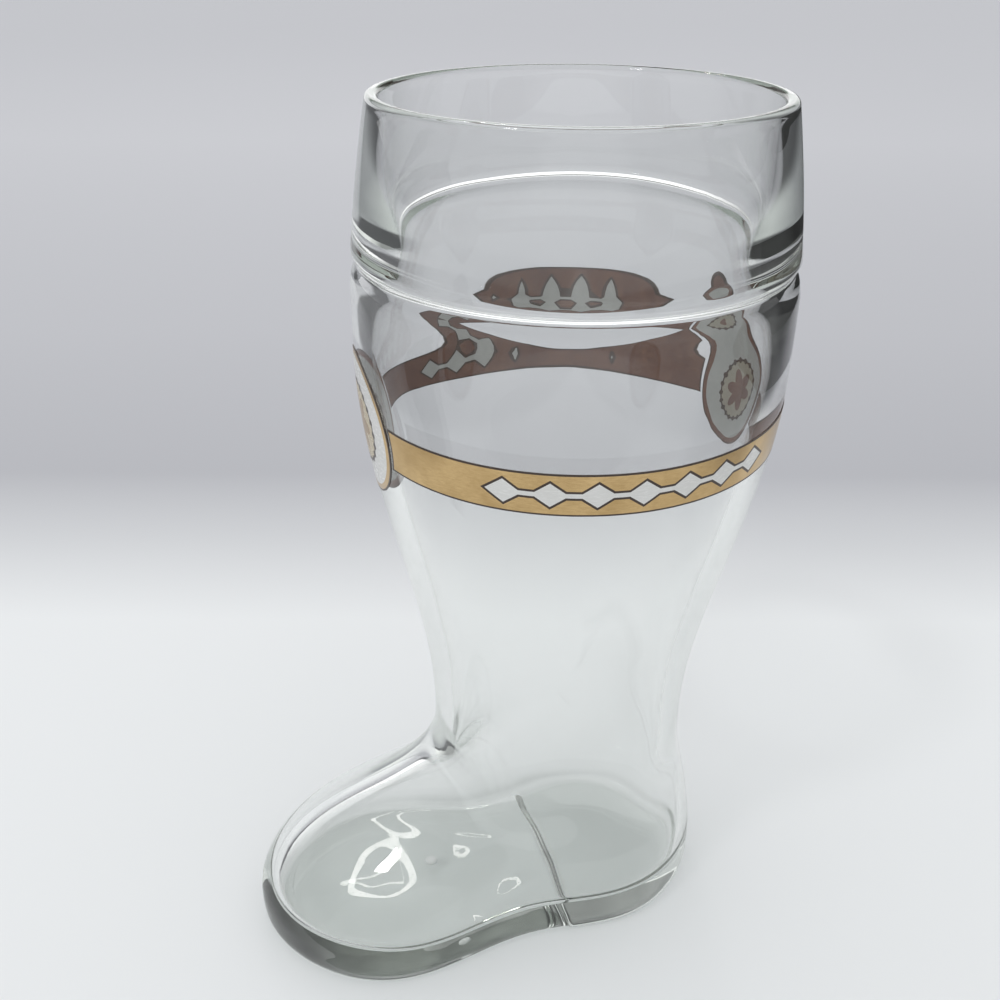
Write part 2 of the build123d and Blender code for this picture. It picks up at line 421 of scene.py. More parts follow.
# %% [markdown]
# ## Skinning the levels
#
# The skin itself is a Geometry Nodes tree. It makes a grid with one row for each level, moves every
# point of the grid to its place on the outline, closes the seam, and gives the glass its life:
# moulded glass is never quite even, and the slow waves on its inside are what bends the light into
# streaks. The waves come from a noise with a fixed seed, and each outline carries the height of its
# own waves and ripples in an attribute.

# %% Tree for the skin
seam = 0.002 * mm
skin, given, result = shape_tree("boot_skin", {
    "Levels": "Int", "Columns": "Int", "Wave Scale": "Float", "Ripple Scale": "Float", "Seed": "Float",
    "Material": "Material",
})
row_length = reckon(skin, "ADD", given["Columns"], 1.0)
grid = add(skin, "GeometryNodeMeshGrid", {"Vertices X": given["Levels"], "Vertices Y": row_length})
index = skin.nodes.new("GeometryNodeInputIndex").outputs[0]
row = reckon(skin, "FLOOR", reckon(skin, "DIVIDE", index, row_length))
column = reckon(skin, "MODULO", reckon(skin, "MODULO", index, row_length), given["Columns"])
source = reckon(skin, "MULTIPLY_ADD", row, given["Columns"], column)
here = skin.nodes.new("GeometryNodeInputPosition").outputs[0]
uneven = read_back(skin, "uneven")


def on_outline(value):
    return add(skin, "GeometryNodeSampleIndex", {
        "Geometry": given["Geometry"], "Value": value, "Index": source,
    }, data_type="FLOAT_VECTOR", domain="POINT").outputs[0]


skinned = step(skin, "SetPosition", grid.outputs["Mesh"], {"Position": on_outline(here)})
marked = written(skin, skinned, "uneven", on_outline(uneven))
closed = step(skin, "MergeByDistance", marked, {"Distance": seam})
print("nodes that shape the skin:", len(skin.nodes))


# %% Waves and ripples
def waving(scale, detail):
    return add(skin, "ShaderNodeTexNoise", {
        "Vector": here, "W": given["Seed"], "Scale": given[scale], "Detail": detail,
    }, noise_dimensions="4D").outputs[0]


both = combined(skin, X=waving("Wave Scale", 1.0), Y=waving("Ripple Scale", 2.0), Z=0.5)
swing = reckon_vector(skin, "SUBTRACT", both, (0.5, 0.5, 0.5))
lift = reckon_vector(skin, "DOT_PRODUCT", swing, uneven)
normal = skin.nodes.new("GeometryNodeInputNormal").outputs[0]
waved = step(skin, "SetPosition", closed, {"Offset": scaled(skin, normal, lift)})
bare = step(skin, "RemoveAttribute", waved, {"Name": "uneven"})
smooth = step(skin, "SetShadeSmooth", bare)
real = step(skin, "RealizeInstances", smooth)
dressed = step(skin, "SetMaterial", real, {"Material": given["Material"]})
skin.links.new(dressed, result["Geometry"])
print("nodes in the finished tree:", len(skin.nodes))

# %% [markdown]
# ## Helpers for finishes
#
# A finish is a material with a node tree of its own. These helpers start one, find the place on the
# piece, draw a noise there, and mix shaders or colours.


# %% Materials, noises and mixes
def material(name):
    made = bpy.data.materials.new(name)
    made.use_nodes = True
    made.node_tree.nodes.clear()
    tree = made.node_tree
    output = tree.nodes.new("ShaderNodeOutputMaterial")
    return made, tree, output


def see_through(tree, *colour):
    return add(tree, "ShaderNodeBsdfTransparent", {"Color": (*colour, 1)}).outputs[0]


def mixed(tree, factor, one, other):
    return add(tree, "ShaderNodeMixShader", {0: factor, 1: one, 2: other}).outputs[0]


def object_place(tree):
    return tree.nodes.new("ShaderNodeTexCoord").outputs["Object"]


def noise(tree, vector, scale, detail, **more):
    inputs = {"Vector": vector, "Scale": scale, "Detail": detail, **more}
    return add(tree, "ShaderNodeTexNoise", inputs).outputs[0]


def blended(tree, factor, one, other):
    return add(tree, "ShaderNodeMix", {"Factor": factor, 6: one, 7: other}, data_type="RGBA").outputs[2]


def ramp(tree, value, *stops):
    made = add(tree, "ShaderNodeValToRGB", {0: value})
    elements = made.color_ramp.elements
    for element, (position, colour) in zip(elements, (stops[0], stops[-1])):
        element.position, element.color = position, (*colour, 1)
    for position, colour in stops[1:-1]:
        elements.new(position).color = (*colour, 1)
    return made.outputs[0]


print("helpers for finishes are ready")

# %% [markdown]
# ## Clear glass
#
# Soda-lime glass is clear in a thin wall and faintly green-grey in a thick sole. A Principled
# shader with full transmission gives the surface, and an absorbing volume gives the tint, so the
# thick parts come out darker by themselves. Handling leaves faint smears, which a noise puts into
# the roughness.
#
# Two kinds of rays take a short cut. Lamps shine through the glass to the floor by way of a
# Transparent shader that only shadow and diffuse rays meet. It lets less through where the wall is
# met edge on, and so the shadow has a darker rim. A ray that was mirrored inside the glass three
# times is tired: it leaves through a tinted Transparent shader, where otherwise it would run on
# until Blender gives it up as black.

# %% Glass material
glass, tree, output = material("clear_glass")
smears = noise(tree, object_place(tree), 90.0, 3.0, Distortion=0.8)
clear = add(tree, "ShaderNodeBsdfPrincipled", {
    "Base Color": (0.99, 0.995, 0.992, 1), "Roughness": ranged(tree, smears, 0.5, 0.8, 0.0, 0.035),
    "IOR": 1.5, "Transmission Weight": 1.0,
}).outputs[0]
facing = add(tree, "ShaderNodeLayerWeight", {"Blend": 0.35}).outputs["Facing"]
lamp_way = mixed(tree, facing, see_through(tree, 0.93, 0.94, 0.935), see_through(tree, 0.66, 0.67, 0.665))
rays = tree.nodes.new("ShaderNodeLightPath").outputs
lamp_rays = reckon(tree, "MAXIMUM", rays["Is Shadow Ray"], rays["Is Diffuse Ray"])
tired_rays = reckon(tree, "GREATER_THAN", rays["Glossy Depth"], 2.5)
lit = mixed(tree, lamp_rays, clear, lamp_way)
surface = mixed(tree, tired_rays, lit, see_through(tree, 0.74, 0.76, 0.74))
tint = add(tree, "ShaderNodeVolumeAbsorption", {"Color": (0.80, 0.83, 0.79, 1), "Density": 20.0}).outputs[0]
tree.links.new(surface, output.inputs["Surface"])
tree.links.new(tint, output.inputs["Volume"])
print("glass made of", len(tree.nodes), "nodes")

# %% [markdown]
# ## The boot
#
# Now the tree runs on the outlines. The waves are slight outside, where the mould held the glass,
# stronger inside and strongest on the inner floor. Fine ripples lie behind the crease and under the
# sole.

# %% Skin of the boot
wave_outside, wave_inside, wave_floor = 0.03, 0.18, 0.5
ripple_ridge, ripple_sole, ripple_reach = 0.06, 0.12, 8
calm_rim, calm_reach = 1, 8
points = np.vstack(levels)
points[:, 0] += leg_axis
outlines = flat_mesh("outlines", points * mm)
heights_now = np.array([ring[:, 2].mean() for ring in levels])
number = np.arange(len(levels))
inside = number >= first_inside
waves = np.where(inside, wave_inside, wave_outside)
waves[inside & (heights_now < foot_top)] = wave_floor
ripples = np.where(inside, ripple_ridge * np.exp(-((heights_now - ridge_height) / ripple_reach) ** 2), 0.0)
ripples[number < underside_levels] = ripple_sole
calm = np.clip((overall_height - calm_rim - heights_now) / calm_reach, 0, 1)
amounts = np.column_stack([waves * calm, ripples * calm, np.zeros(len(levels))]) * mm
attribute = outlines.attributes.new("uneven", "FLOAT_VECTOR", "POINT")
attribute.data.foreach_set("vector", np.repeat(amounts, round_count, axis=0).ravel())
boot_mesh = run_tree(skin, outlines, {
    "Levels": len(levels), "Columns": round_count, "Wave Scale": 32.0, "Ripple Scale": 140.0, "Seed": 3.0,
    "Material": glass,
})
print("faces of the skin:", len(boot_mesh.polygons))

# %% [markdown]
# A seed bubble sits in the sole under the toe, as in most pressed glass: a small closed shell whose
# faces look into the hole, so that light meets glass, then air, then glass again.

# %% Bubble and finished boot
bubble_place, bubble_radius, bubble_shape = (-15.7, 1.0, 4.4), 1.4, (1.2, 1, 0.8, 1)
work = bmesh.new()
work.from_mesh(boot_mesh)
if work.calc_volume(signed=True) < 0:
    bmesh.ops.reverse_faces(work, faces=work.faces)
open_edges = sum(not e.is_manifold for e in work.edges)
bubble = bmesh.ops.create_icosphere(
    work, subdivisions=3, radius=bubble_radius * mm,
    matrix=Matrix.Translation([v * mm for v in bubble_place]) @ Matrix.Diagonal(bubble_shape),
)
bubble_faces = list({f for v in bubble["verts"] for f in v.link_faces})
bmesh.ops.reverse_faces(work, faces=bubble_faces)
for face in bubble_faces:
    face.smooth = True
print("glass volume in cm3:", round(work.calc_volume() * 1e6, 1), "open edges:", open_edges)
work.to_mesh(boot_mesh)
work.free()
boot = place("boot_glass", boot_mesh)
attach(boot, "root")
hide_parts("glass_boot")

# %% [markdown]
# ## Fired gold and enamel
#
# The prints are fired onto the glass: bright gold, which is a thin metal with a faint streaky
# grain, and glossy enamels. All of them share one effect, a slow mottling with fine grain, so that
# is a shader group with its own inputs. Seen through the glass, gold shows its brown underside, and
# so it gets a second material for its back. Each enamel gets a back as well. The backs of the white
# and cream enamels are darker copies of their faces: painted shade on top of the enamel's own colour.

# %% Mottling shared by the prints
mottle = bpy.data.node_groups.new("print_mottle", "ShaderNodeTree")
mottle_inputs = {"Light": "Color", "Dark": "Color", "Cloud Scale": "Float", "Grain Scale": "Float"}
for label, kind in mottle_inputs.items():
    mottle.interface.new_socket(label, in_out="INPUT", socket_type="NodeSocket" + kind)
mottle.interface.new_socket("Color", in_out="OUTPUT", socket_type="NodeSocketColor")
mottle.interface.new_socket("Grain", in_out="OUTPUT", socket_type="NodeSocketFloat")
taken = mottle.nodes.new("NodeGroupInput").outputs
handed = mottle.nodes.new("NodeGroupOutput").inputs
where = object_place(mottle)
clouds = noise(mottle, where, taken["Cloud Scale"], 4.0)
stretched = add(mottle, "ShaderNodeMapping", {"Vector": where, "Scale": (1.0, 1.0, 5.0)}).outputs[0]
grain = noise(mottle, stretched, taken["Grain Scale"], 6.0, Roughness=0.7)
clouded = reckon(mottle, "MULTIPLY", clouds, grain)
mottled = blended(mottle, ranged(mottle, clouded, 0.12, 0.4), taken["Dark"], taken["Light"])
mottle.links.new(mottled, handed["Color"])
mottle.links.new(grain, handed["Grain"])
print("mottling made of", len(mottle.nodes), "nodes")


# %% Print materials
def print_finish(name, light, dark, metallic, smoothest, roughest):
    made, tree, output = material(name)
    effect = add(tree, "ShaderNodeGroup", {
        "Light": (*light, 1), "Dark": (*dark, 1), "Cloud Scale": 120.0, "Grain Scale": 700.0,
    }, node_tree=mottle)
    grain = effect.outputs["Grain"]
    bump = add(tree, "ShaderNodeBump", {"Height": grain, "Strength": 0.15, "Distance": 0.05 * mm})
    body = add(tree, "ShaderNodeBsdfPrincipled", {
        "Base Color": effect.outputs["Color"], "Metallic": metallic,
        "Roughness": ranged(tree, grain, 0.3, 0.7, smoothest, roughest), "Normal": bump.outputs[0],
    })
    tree.links.new(body.outputs[0], output.inputs["Surface"])
    return made


finishes = {
    "gold": (
        print_finish("fired_gold", (0.69, 0.49, 0.245), (0.46, 0.31, 0.14), 1.0, 0.14, 0.28),
        print_finish("gold_underside", (0.23, 0.11, 0.07), (0.14, 0.06, 0.045), 0.0, 0.35, 0.55),
    ),
    "dark_enamel": (
        print_finish("dark_enamel", (0.06, 0.035, 0.022), (0.035, 0.02, 0.014), 0.0, 0.25, 0.4),
        print_finish("dark_enamel_underside", (0.10, 0.055, 0.04), (0.06, 0.035, 0.025), 0.0, 0.35, 0.5),
    ),
    # The back of the white enamel is darker: painted shade on top of the enamel's own colour.
    "white_enamel": (
        print_finish("white_enamel", (0.88, 0.88, 0.86), (0.8, 0.8, 0.77), 0.0, 0.18, 0.32),
        print_finish("white_enamel_back_painted_shade", (0.52, 0.51, 0.5), (0.42, 0.41, 0.4), 0.0, 0.3, 0.5),
    ),
    # The back of the cream enamel is darker too: painted shade on top of the enamel's own colour.
    "cream_enamel": (
        print_finish("cream_enamel", (0.72, 0.63, 0.45), (0.64, 0.54, 0.37), 0.0, 0.2, 0.35),
        print_finish("cream_enamel_back_painted_shade", (0.42, 0.38, 0.31), (0.34, 0.3, 0.24), 0.0, 0.3, 0.5),
    ),
}
print("finishes with a face and a back:", list(finishes))

# %% [markdown]
# ## Pressing a flat drawing onto the glass
#
# A print is drawn flat and then laid on the curved leg. The first tree does the laying: every point
# of the drawing sends a ray towards the glass and moves to where it hits. The back of the print
# sits a hair inside the glass, as a fired layer is bonded to it without any air between, and the
# drawing is raised from there to a thin layer.

# %% Tree that lays a drawing on the glass
press, given, result = shape_tree("press_on_glass", {
    "Glass": "Object", "Ray From": "Vector", "Ray Along": "Vector", "Bond": "Float", "Layer": "Float",
    "Face": "Material", "Back": "Material",
})
noted = written(press, given["Geometry"], "inward", given["Ray Along"])
target = add(press, "GeometryNodeObjectInfo", {"Object": given["Glass"]})
ray = add(press, "GeometryNodeRaycast", {
    "Target Geometry": target.outputs["Geometry"], "Source Position": given["Ray From"],
    "Ray Direction": given["Ray Along"], "Ray Length": 1.0,
})
sunk = scaled(press, given["Ray Along"], given["Bond"])
spot = reckon_vector(press, "ADD", ray.outputs["Hit Position"], sunk)
laid = step(press, "SetPosition", noted, {"Position": spot})
raised = step(press, "ExtrudeMesh", laid, {
    "Offset": scaled(press, read_back(press, "inward"), -1.0), "Individual": False,
    "Offset Scale": reckon(press, "ADD", given["Bond"], given["Layer"]),
}, mode="FACES")
turned_over = step(press, "FlipFaces", laid)
print("nodes that lay a print:", len(press.nodes))

# %% Face and back of a print
sharp_angle = 0.6
both = press.nodes.new("GeometryNodeJoinGeometry")
for side, label in ((raised, "Face"), (turned_over, "Back")):
    coloured = step(press, "SetMaterial", side, {"Material": given[label]})
    press.links.new(coloured, both.inputs[0])
whole_print = step(press, "MergeByDistance", both.outputs[0], {"Distance": seam})
plain = step(press, "RemoveAttribute", whole_print, {"Name": "inward"})
softened = step(press, "SetShadeSmooth", plain)
edge_angle = press.nodes.new("GeometryNodeInputMeshEdgeAngle").outputs[0]
is_sharp = reckon(press, "GREATER_THAN", edge_angle, sharp_angle)
crisp = step(press, "SetShadeSmooth", softened, {"Selection": is_sharp, "Shade Smooth": False}, domain="EDGE")
press.links.new(crisp, result["Geometry"])
print("nodes in the finished tree:", len(press.nodes))

# %% [markdown]
# ## A drawing that repeats
#
# The band holds a chain of lozenges, so one stretch of it, from the middle of a lozenge to the
# middle of the next, is drawn once and repeated along a line. In the medallions one sector is drawn
# and repeated round the middle. Two more trees do that, find the rays for each point and hand
# everything to the tree above.


# %% What both kinds of print share
def print_tree(name, more):
    return shape_tree(name, {
        "Cell": "Object", "Count": "Int", **more, "Axis": "Float", "Height": "Float", "Far": "Float",
        "Glass": "Object", "Bond": "Float", "Layer": "Float", "Face": "Material", "Back": "Material",
    })


def repeated(tree, given, points, **turning):
    cell = add(tree, "GeometryNodeObjectInfo", {"Object": given["Cell"]})
    copies = step(tree, "InstanceOnPoints", points, {"Instance": cell.outputs["Geometry"], **turning})
    return step(tree, "RealizeInstances", copies)


def lay(tree, given, result, drawing, ray_from, ray_along):
    joined = step(tree, "MergeByDistance", drawing, {"Distance": seam})
    passed_on = {label: given[label] for label in ("Glass", "Bond", "Layer", "Face", "Back")}
    pressed = step(tree, "Group", joined, {
        "Ray From": ray_from, "Ray Along": ray_along, **passed_on,
    }, node_tree=press)
    tree.links.new(pressed, result["Geometry"])
    print(tree.name, "nodes:", len(tree.nodes))


def drawn_at(tree):
    where = tree.nodes.new("GeometryNodeInputPosition").outputs[0]
    return add(tree, "ShaderNodeSeparateXYZ", {0: where}).outputs[:2]


# %% Tree for the bands
band, given, result = print_tree("band_print", {"Pitch": "Float", "Radius": "Float", "Middle": "Float"})
start = reckon(band, "MULTIPLY", reckon(band, "MULTIPLY", given["Count"], given["Pitch"]), -0.5)
line = add(band, "GeometryNodeMeshLine", {
    "Count": given["Count"], "Start Location": combined(band, X=start),
    "Offset": combined(band, X=given["Pitch"]),
})
whole_band = band.nodes.new("GeometryNodeJoinGeometry")
band.links.new(repeated(band, given, line.outputs[0]), whole_band.inputs[0])
band.links.new(given["Geometry"], whole_band.inputs[0])
flat_x, flat_y = drawn_at(band)
angle = reckon(band, "ADD", reckon(band, "DIVIDE", flat_x, given["Radius"]), given["Middle"])
out = combined(band, X=reckon(band, "COSINE", angle), Y=reckon(band, "SINE", angle))
centre = combined(band, X=given["Axis"], Z=reckon(band, "ADD", flat_y, given["Height"]))
origin = reckon_vector(band, "ADD", centre, scaled(band, out, given["Far"]))
lay(band, given, result, whole_band.outputs[0], origin, scaled(band, out, -1.0))

# %% Tree for the medallions
full_turn = 2 * math.pi
medal, given, result = print_tree("medallion_print", {"Facing": "Float"})
middles = add(medal, "GeometryNodePoints", {"Count": given["Count"]})
number = medal.nodes.new("GeometryNodeInputIndex").outputs[0]
turn = reckon(medal, "MULTIPLY", number, reckon(medal, "DIVIDE", full_turn, given["Count"]))
sectors = repeated(medal, given, middles.outputs[0], Rotation=combined(medal, Z=turn))
flat_x, flat_y = drawn_at(medal)
origin = combined(
    medal,
    X=reckon(medal, "MULTIPLY_ADD", given["Far"], given["Facing"], given["Axis"]),
    Y=reckon(medal, "MULTIPLY", flat_x, given["Facing"]),
    Z=reckon(medal, "ADD", flat_y, given["Height"]),
)
back_in = combined(medal, X=reckon(medal, "MULTIPLY", given["Facing"], -1.0))
lay(medal, given, result, sectors, origin, back_in)

# %% [markdown]
# ## Drawing strips
#
# Every printed shape here is a strip between two edges: along the band between two heights, and in
# the medallions between two radii. Adding strips together gives the gaps and rings exactly, so the
# colours lie side by side like inlay and show from the back as well as from the front.


# %% Strips between two edges
def grid_faces(runs, rows):
    stride = rows + 1
    return [
        (a, a + stride, a + stride + 1, a + 1)
        for i in range(runs) for a in range(i * stride, i * stride + rows)
    ]


def strip(stations, low, high, rows):
    points = []
    for x in stations:
        bottom, top = low(x), high(x)
        points += [(x, bottom + (top - bottom) * r / rows, 0) for r in range(rows + 1)]
    return points, grid_faces(len(stations) - 1, rows)


def gathered(*strips):
    points, faces = [], []
    for more_points, more_faces in strips:
        faces += [tuple(i + len(points) for i in f) for f in more_faces]
        points += more_points
    return points, faces


def on_both_sides(drawing, across):
    points, faces = drawing
    sign = (-1, 1) if across else (1, -1)
    flipped = [(x * sign[0], y * sign[1], z) for x, y, z in points]
    return gathered(drawing, (flipped, [f[::-1] for f in faces]))


def drawing_object(name, drawing):
    points, faces = drawing
    mesh = flat_mesh(name, np.array(points) * mm, faces)
    clean = bmesh.new()
    clean.from_mesh(mesh)
    bmesh.ops.remove_doubles(clean, verts=clean.verts, dist=seam / 4)
    bmesh.ops.dissolve_degenerate(clean, edges=clean.edges, dist=seam / 4)
    clean.to_mesh(mesh)
    clean.free()
    return bpy.data.objects.new(name, mesh)


print("faces of a strip of 3 by 2:", grid_faces(3, 2))

# %% Edges of the band's drawing
band_height, band_width, keyline_width = 131.3, 7.8, 0.35
medallion_diameter, medallion_gap = 28.8, 0.9
lozenge_count, pitch, lozenge_length, lozenge_width = 7, 8.2, 6.6, 4.8
link_width, outline_width = 0.9, 0.45
cell_spacing, tip_spacing = 0.7, 0.5
band_radius = leg_reach(band_height, ankle_side)
slant = math.hypot(lozenge_length, lozenge_width)
half_band = band_width / 2


def lozenge_edge(margin):
    length = lozenge_length / 2 + margin * slant / lozenge_width
    width = lozenge_width / 2 + margin * slant / lozenge_length
    link = link_width / 2 + margin
    between = lambda x: max(link, width * (1 - x / length), width * (1 - (pitch - x) / length))
    tip = lambda x: max(0.0, width * (1 - x / length))
    bend = length * (1 - link / width)
    return between, tip, length, bend


def band_end(clearance):
    cut = medallion_diameter / 2 + clearance
    return lambda y: band_radius * (math.pi / 2 - math.asin(math.sqrt(cut**2 - y**2) / band_radius))


def evenly(stops, spacing):
    places = [stops[0]]
    for a, b in zip(stops, stops[1:]):
        count = max(1, math.ceil((b - a) / spacing))
        places += [a + (b - a) * i / count for i in range(1, count + 1)]
    return places


chain, chain_tip, chain_length, chain_bend = lozenge_edge(0)
edged, edged_tip, edged_length, edged_bend = lozenge_edge(outline_width)
first_bend, second_bend = sorted((chain_bend, edged_bend))
cell_stops = [0, first_bend, second_bend, pitch - second_bend, pitch - first_bend, pitch]
cell_stations = evenly(cell_stops, cell_spacing)
tip_stations = evenly([0, chain_length, edged_length], tip_spacing)
last = (lozenge_count - 1) * pitch / 2
gold_end, line_end = band_end(medallion_gap + keyline_width), band_end(medallion_gap)
print("stations in one stretch of the chain:", len(cell_stations))


# %% Ends of the band and the line round it
def gold_tail(runs=32, rows=8):
    start = last + edged_length
    heights = [half_band * (2 * r / rows - 1) for r in range(rows + 1)]
    points = [(start + (gold_end(y) - start) * i / runs, y, 0) for i in range(runs + 1) for y in heights]
    return points, grid_faces(runs, rows)


def keyline_frame(runs=120, rises=8):
    outer_half = half_band + keyline_width
    inner, outer = [], []
    for i in range(runs + 1):
        share = 2 * i / runs - 1
        inner.append((gold_end(half_band) * share, half_band))
        outer.append((line_end(outer_half) * share, outer_half))
    for i in range(1, rises):
        y = 1 - 2 * i / rises
        inner.append((gold_end(half_band * y), half_band * y))
        outer.append((line_end(outer_half * y), outer_half * y))
    inner += [(-x, -y) for x, y in inner]
    outer += [(-x, -y) for x, y in outer]
    count = len(inner)
    points = [(x, y, 0) for x, y in inner + outer]
    faces = [(i, (i + 1) % count, count + (i + 1) % count, count + i)[::-1] for i in range(count)]
    return points, faces


print("half length of the gold in mm:", round(gold_end(0), 1))


# %% Drawings of the band
def flat(value):
    return lambda x: value


band_drawings = {
    "band_ornament": (
        strip(cell_stations, flat(0), chain, 3),
        strip(evenly([0, chain_length], tip_spacing), flat(0), chain_tip, 3),
    ),
    "band_outline": (
        strip(cell_stations, chain, edged, 1),
        strip(tip_stations, chain_tip, edged_tip, 1),
    ),
    "band_gold": (
        strip(cell_stations, edged, flat(half_band), 3),
        strip(tip_stations, edged_tip, flat(half_band), 4),
    ),
}
cells, ends = {}, {}
for name, (stretch, (points, faces)) in band_drawings.items():
    cells[name] = drawing_object(name + "_cell", on_both_sides(stretch, False))
    points, faces = on_both_sides((points, faces), False)
    ends[name] = on_both_sides(([(x + last, y, z) for x, y, z in points], faces), True)
ends["band_gold"] = gathered(ends["band_gold"], on_both_sides(gold_tail(), True))
cells["band_keyline"] = drawing_object("band_keyline_cell", ([], []))
ends["band_keyline"] = keyline_frame()
print("drawings of the band:", {name: len(faces) for name, (points, faces) in ends.items()})

# %% [markdown]
# ## The bands
#
# The gold band lies on both sides of the leg between the medallions, with a thin dark line round
# it. The chain of white lozenges, each with a dark edge, is let into the gold.

# %% Lay the bands on the glass
layer_thickness, bond_depth = 0.15, 0.05
finish_of = {
    "band_keyline": "dark_enamel", "band_gold": "gold",
    "band_outline": "dark_enamel", "band_ornament": "white_enamel",
    "medallion_line": "dark_enamel", "medallion_rim": "gold", "medallion_field": "white_enamel",
    "medallion_beading": "dark_enamel", "medallion_roundel": "cream_enamel", "medallion_rosette": "gold",
}
common = {
    "Axis": leg_axis * mm, "Height": band_height * mm, "Far": 3 * calf_radius * mm, "Glass": boot,
    "Bond": bond_depth * mm, "Layer": layer_thickness * mm,
}


def lay_print(name, side, tree, start, values):
    finish, node = finish_of[name], f"{name}_{side}"
    face, back = finishes[finish]
    mesh = run_tree(tree, start, {**common, **values, "Face": face, "Back": back})
    piece = place(node + "_print", mesh)
    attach(piece, "root")
    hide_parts(node)
    print(piece.name, "faces:", len(mesh.polygons))


for side, middle in (("near", -math.pi / 2), ("far", math.pi / 2)):
    for name in cells:
        points, faces = ends[name]
        lay_print(name, side, band, flat_mesh(name + "_ends", np.array(points) * mm, faces), {
            "Cell": cells[name], "Count": lozenge_count - 1, "Pitch": pitch * mm,
            "Radius": band_radius * mm, "Middle": middle,
        })

# %% [markdown]
# ## The medallions
#
# Over the toe and over the heel the band is broken by a round medallion: a dark line, a gold rim, a
# white field, a beaded ring, a cream middle and a gold rosette. Each is one sector, drawn in angle
# and radius and repeated.

# %% Edges in the medallions
line_width, rim_width = 0.35, 1.1
beading_diameter, beading_width, bead_diameter, bead_count = 16.0, 0.5, 1.4, 20
rosette_diameter, petal_width, petal_count, ring_count = 12.0, 3.2, 6, 24
bead_turn, petal_turn, ring_turn = full_turn / bead_count, full_turn / petal_count, full_turn / ring_count
line_outside = medallion_diameter / 2
rim_outside = line_outside - line_width
field_outside = rim_outside - rim_width


def bead_edge(side):
    def radius(angle):
        off = (angle + bead_turn / 2) % bead_turn - bead_turn / 2
        middle = beading_diameter / 2
        plain = middle + side * beading_width / 2
        room = (bead_diameter / 2) ** 2 - (middle * math.sin(off)) ** 2
        if room <= 0:
            return plain
        return side * max(side * plain, side * (middle * math.cos(off) + side * math.sqrt(room)))
    return radius


def petal_edge(angle):
    off = (angle + petal_turn / 2) % petal_turn - petal_turn / 2
    long, short = rosette_diameter / 4, petal_width / 2
    far = 2 * math.cos(off) / long / ((math.cos(off) / long) ** 2 + (math.sin(off) / short) ** 2)
    return max(far, short)


def sector(low, high, turn, columns, rows):
    points, faces = strip([turn * i / columns for i in range(columns + 1)], low, high, rows)
    return [(r * math.cos(a), r * math.sin(a), 0) for a, r, z in points], [f[::-1] for f in faces]


print("radii in mm:", [round(r, 2) for r in (line_outside, rim_outside, field_outside, petal_edge(0))])

# %% Lay the medallions on the glass
medallion_drawings = {
    "medallion_line": (sector(flat(rim_outside), flat(line_outside), ring_turn, 6, 1), ring_count),
    "medallion_rim": (sector(flat(field_outside), flat(rim_outside), ring_turn, 6, 2), ring_count),
    "medallion_field": (sector(bead_edge(1), flat(field_outside), bead_turn, 16, 4), bead_count),
    "medallion_beading": (sector(bead_edge(-1), bead_edge(1), bead_turn, 16, 2), bead_count),
    "medallion_roundel": (sector(petal_edge, bead_edge(-1), full_turn / 2, 160, 4), 2),
    "medallion_rosette": (sector(flat(0.0), petal_edge, petal_turn, 24, 6), petal_count),
}
for side, facing in (("front", -1.0), ("back", 1.0)):
    for name, (drawing, count) in medallion_drawings.items():
        lay_print(name, side, medal, flat_mesh(name + "_start", []), {
            "Cell": drawing_object(f"{name}_{side}_sector", drawing), "Count": count, "Facing": facing,
        })

# %% [markdown]
# ## Floor
#
# The glass stands on a pale sheet. Further back the sheet turns grey, which gives the soft horizon
# behind the boot. One plain floor with a soft change of colour does both. It lies a hair below the
# sole: with air between them, the underside of the glass mirrors as it does on a real table.
#
# Clear glass is drawn by dark surroundings. At the sides the sheet is therefore dark, but not for
# the camera, and not for rays that went through more than two faces of the glass. A view straight
# through the leg passes four faces and stays pale, and the edges of the glass pick up the dark
# sides.

# %% Floor
heading, air_gap, floor_reach = math.radians(15.2), 0.1 * mm, 6
corners = ((-1, -1), (1, -1), (1, 1), (-1, 1))
floor_points = [(x * floor_reach, y * floor_reach, -air_gap) for x, y in corners]
floor = place("floor", flat_mesh("floor", floor_points, [(0, 1, 2, 3)]))
sheet, tree, output = material("pale_sheet")
coordinates = object_place(tree)
backward = (math.sin(heading), math.cos(heading), 0)
distance = reckon_vector(tree, "DOT_PRODUCT", coordinates, backward)
pale = ramp(
    tree, ranged(tree, distance, 0.0, 1.0),
    (0.11, (0.80, 0.815, 0.82)), (0.165, (0.62, 0.63, 0.645)), (0.22, (0.47, 0.475, 0.5)),
    (0.4, (0.52, 0.525, 0.55)), (1.0, (0.60, 0.605, 0.63)),
)
print("floor below the sole in mm:", air_gap / mm)

# %% Dark sides of the floor
pale_reach, dark_reach, widening, darkest = 0.2, 0.34, 0.4, 0.85
sideward = (math.cos(heading), -math.sin(heading), 0)
off_middle = reckon(tree, "ABSOLUTE", reckon_vector(tree, "DOT_PRODUCT", coordinates, sideward))
far_off = reckon(tree, "MAXIMUM", distance, 0.0)
off_sheet = reckon(tree, "MULTIPLY_ADD", far_off, -widening, off_middle)
at_sides = ranged(tree, off_sheet, pale_reach, dark_reach, 0.0, darkest, interpolation_type="SMOOTHSTEP")
rays = tree.nodes.new("ShaderNodeLightPath").outputs
few_faces = reckon(tree, "LESS_THAN", rays["Transmission Depth"], 2.5)
seen_in_edges = reckon(tree, "SUBTRACT", few_faces, rays["Is Camera Ray"])
dimmed = reckon(tree, "MULTIPLY", at_sides, seen_in_edges)
paper = add(tree, "ShaderNodeBsdfPrincipled", {
    "Base Color": blended(tree, dimmed, pale, (0.06, 0.06, 0.065, 1)), "Roughness": 0.9,
    "Specular IOR Level": 0.1,
})
tree.links.new(paper.outputs[0], output.inputs["Surface"])
floor.data.materials.append(sheet)
print("sheet made of", len(tree.nodes), "nodes")

